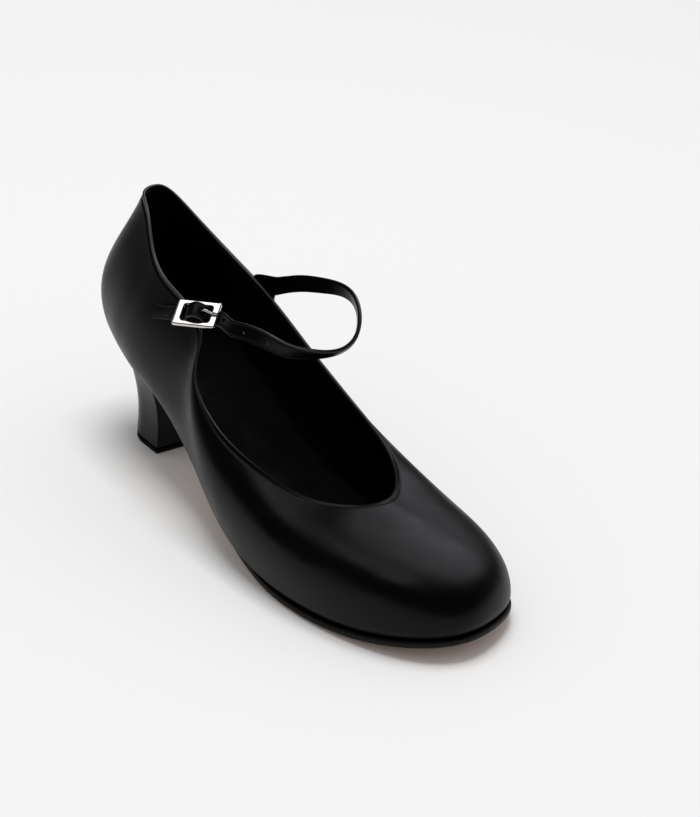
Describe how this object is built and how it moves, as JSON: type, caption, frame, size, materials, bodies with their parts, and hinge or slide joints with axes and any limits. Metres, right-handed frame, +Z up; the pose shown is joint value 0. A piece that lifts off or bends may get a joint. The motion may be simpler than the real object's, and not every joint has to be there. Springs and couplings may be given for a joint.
{
  "type": "character shoe",
  "caption": "Black smooth-leather right character shoe with a covered flared heel, round toe, open collar and one buckled instep strap.",
  "frame": {"origin": "centre of the heel's top piece on the floor", "axes": "+Z up, the toe points along -Y, +X is the medial (big toe) side of the right shoe"},
  "size_m": [0.0853, 0.2433, 0.1121],
  "materials": {
    "upper_leather": "smooth semi-matte calf leather",
    "heel_cover": "smooth semi-matte leather glued over the heel",
    "top_piece_rubber": "matt",
    "sole_leather": "buffed natural leather with a black edge",
    "sock_lining": "matt lining",
    "buckle_metal": "polished nickel plate",
    "elastic": "ribbed elastic"
  },
  "bodies": {
    "root": {"upper": "upper_leather", "strap": "upper_leather", "heel": "heel_cover", "top_piece": "top_piece_rubber", "outsole": "sole_leather", "insole": "sock_lining", "buckle_frame": "buckle_metal", "buckle_prong": "buckle_metal", "buckle_tab": "elastic"}
  },
  "joints": []
}
